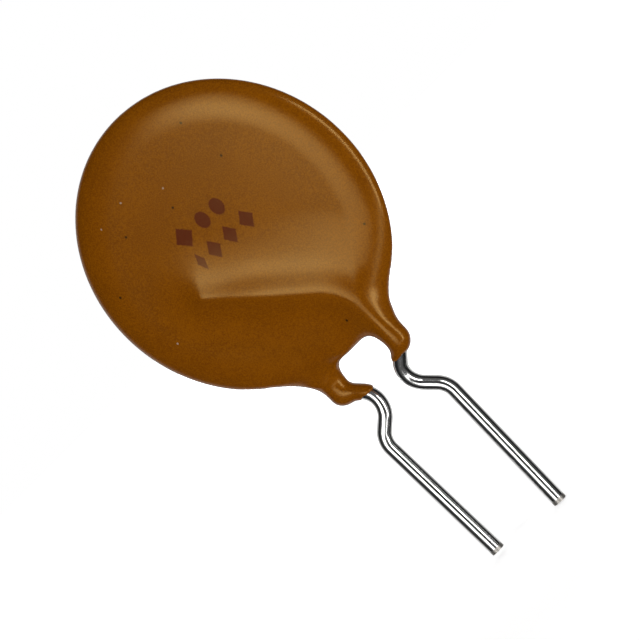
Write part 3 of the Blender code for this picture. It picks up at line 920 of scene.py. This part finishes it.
# %% Rings round the camera
RINGS = (
    (0.0, 0.0), (0.1, 0.01), (0.14, 0.1), (0.34, 0.1), (0.43, 0.01),
    (0.62, 0.01), (0.7, 0.8), (0.78, 0.8), (0.86, 0.12),
)
world = bpy.data.worlds.new("white_room")
bpy.context.scene.world = world
world.use_nodes = True
world_tree = world.node_tree
world_tree.nodes.clear()
look = add_node(world_tree, "ShaderNodeTexCoord").outputs["Generated"]


def angle_from(direction):
    """How far the ray's direction is from this one."""
    alike = add_node(world_tree, "ShaderNodeVectorMath", {0: look, 1: direction}, operation="DOT_PRODUCT")
    return calculate(world_tree, "ARCCOSINE", alike.outputs["Value"])


rings = add_node(world_tree, "ShaderNodeValToRGB", {
    "Fac": calculate(world_tree, "DIVIDE", angle_from(toward_camera), math.pi),
})
stops = rings.color_ramp.elements
while len(stops) < len(RINGS):
    stops.new(1.0)
for stop, (position, _) in zip(stops, RINGS):
    stop.position = position
for stop, (_, level) in zip(stops, RINGS):
    stop.color = (level, level, level, 1)
print("World rings:", [round(stop.position, 2) for stop in stops])

# %% [markdown]
# A window lamp ends in a hard edge, and the satin epoxy would show it. Real light falls off round a window,
# so reflections also see a soft glow there, which is added to the rings.

# %% Glow round the window, and the world itself
GLOW_AZIMUTH = math.radians(-10)
GLOW_ELEVATION = math.radians(6)
GLOW_REACH = (math.radians(8), math.radians(21))
GLOW_LEVEL = 1.2
ROOM_LIGHT = (0.25, 0.25, 0.25, 1)
WHITE = (1, 1, 1, 1)
glow = remap(world_tree, angle_from(direction_to(GLOW_AZIMUTH, GLOW_ELEVATION)), GLOW_REACH,
             (GLOW_LEVEL, 0.0), interpolation_type="SMOOTHSTEP")
mirrored = mix_colours(world_tree, 1.0, rings.outputs["Color"], glow, blend_type="ADD")
ray = add_node(world_tree, "ShaderNodeLightPath")
room = mix_colours(world_tree, ray.outputs["Is Glossy Ray"], ROOM_LIGHT, mirrored)
seen = calculate(world_tree, "MAXIMUM", ray.outputs["Is Camera Ray"], ray.outputs["Is Transmission Ray"])
background = add_node(world_tree, "ShaderNodeBackground", {
    "Color": mix_colours(world_tree, seen, room, WHITE), "Strength": 1.0,
})
add_node(world_tree, "ShaderNodeOutputWorld", {"Surface": background.outputs["Background"]})
print("World:", len(world_tree.nodes), "nodes")

# %% [markdown]
# The floor is a plain pale sheet at the tips of the leads. The lamps light it, so it takes the part's
# shadow. The camera also sees it glow, a little less near the part than far from it, which brings it up to
# the world's white and leaves only a faint shadow. It is left out of reflections and casts no shadow.

# %% Floor
FLOOR_GAP = 0.05 * MM
FLOOR_RADIUS = 400 * MM
FLOOR_SIDES = 96
floor_mesh = bpy.data.meshes.new("floor")
shape = bmesh.new()
bmesh.ops.create_circle(shape, cap_ends=True, segments=FLOOR_SIDES, radius=FLOOR_RADIUS)
bmesh.ops.translate(shape, verts=shape.verts, vec=(0, 0, cad_box[0][2] - FLOOR_GAP))
shape.to_mesh(floor_mesh)
shape.free()
floor = bpy.data.objects.new("floor", floor_mesh)
bpy.context.scene.collection.objects.link(floor)
floor.visible_glossy = False
floor.visible_shadow = False
floor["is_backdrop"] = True
print("The floor lies at", in_mm(floor_mesh.vertices[0].co)[2], "mm")

# %% Floor material
FLOOR_WHITE = (0.8, 0.8, 0.8, 1)
FLOOR_GLOW = (0.62, 1.0)
GLOW_DISTANCES = (50 * MM, 120 * MM)
pale_floor, floor_tree, floor_shader = start_finish("pale_floor", {
    "Base Color": FLOOR_WHITE, "Roughness": 0.9, "Specular IOR Level": 0.0,
})
on_floor = add_node(floor_tree, "ShaderNodeTexCoord").outputs["Object"]
from_part = add_node(floor_tree, "ShaderNodeVectorMath", {0: on_floor}, operation="LENGTH")
floor_glow = add_node(floor_tree, "ShaderNodeEmission", {
    "Color": WHITE, "Strength": remap(floor_tree, from_part.outputs["Value"], GLOW_DISTANCES, FLOOR_GLOW),
})
glowing = add_node(floor_tree, "ShaderNodeAddShader", {
    0: floor_shader.outputs["BSDF"], 1: floor_glow.outputs["Emission"],
})
ray = add_node(floor_tree, "ShaderNodeLightPath")
as_seen = add_node(floor_tree, "ShaderNodeMixShader", {
    "Fac": ray.outputs["Is Camera Ray"], 1: floor_shader.outputs["BSDF"], 2: glowing.outputs["Shader"],
})
floor_tree.links.new(as_seen.outputs["Shader"], floor_tree.nodes["Material Output"].inputs["Surface"])
floor_mesh.materials.append(pale_floor)
print("Floor finish:", len(floor_tree.nodes), "nodes")

# %% [markdown]
# One tall soft window, a little to the left of the camera, makes the broad sheen on the face and the slope
# of the tent, and its upper pane is brighter. A narrow strip far to the right draws the thin line along the
# rim and one line down each wire, and a low strip lights the legs from below. The last lamp only fills the
# back, so it is left out of reflections. A row gives azimuth and elevation in degrees, width and height in
# millimetres, the level, and whether reflections show the lamp. The power follows from the level and the
# area, so a lamp can change its size and stay as bright to look at.

# %% Lamps
LAMP_DISTANCE = 300 * MM
LAMPS = {
    "window": (-6.5, 3, 136, 312, 2.4, True),
    "upper_pane": (-12, 14, 90, 90, 1.8, True),
    "side_strip": (54, -8, 50, 375, 9.0, True),
    "low_strip": (24, -37, 320, 35, 3.0, True),
    "back_fill": (195, 20, 300, 300, 1.9, False),
}
for name, (azimuth, elevation, width, height, level, in_gloss) in LAMPS.items():
    direction = direction_to(math.radians(azimuth), math.radians(elevation))
    lamp_data = bpy.data.lights.new(name, "AREA")
    lamp_data.shape = "RECTANGLE"
    lamp_data.size = width * MM
    lamp_data.size_y = height * MM
    lamp_data.energy = level * math.pi * lamp_data.size * lamp_data.size_y
    lamp = bpy.data.objects.new(name, lamp_data)
    bpy.context.scene.collection.objects.link(lamp)
    lamp.visible_camera = False
    lamp.visible_glossy = in_gloss
    lamp.location = DISC_CENTRE + direction * LAMP_DISTANCE
    lamp.rotation_euler = direction.to_track_quat("Z", "Y").to_euler()
    print(name, "stands at", in_mm(lamp.location), "mm with", round(lamp_data.energy, 2), "W")

# %% [markdown]
# ## Last checks
#
# The view transform is Standard, so colours come out as they are written. The two boxes are kept side by
# side, to show that dressing the part has not changed its size.

# %% Finish
bpy.context.scene.view_settings.view_transform = "Standard"
visual_box = [list(corner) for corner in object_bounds()]
for name, corners in (("CAD", cad_box), ("visual", visual_box)):
    print(name, "box in mm:", [in_mm(corner) for corner in corners])
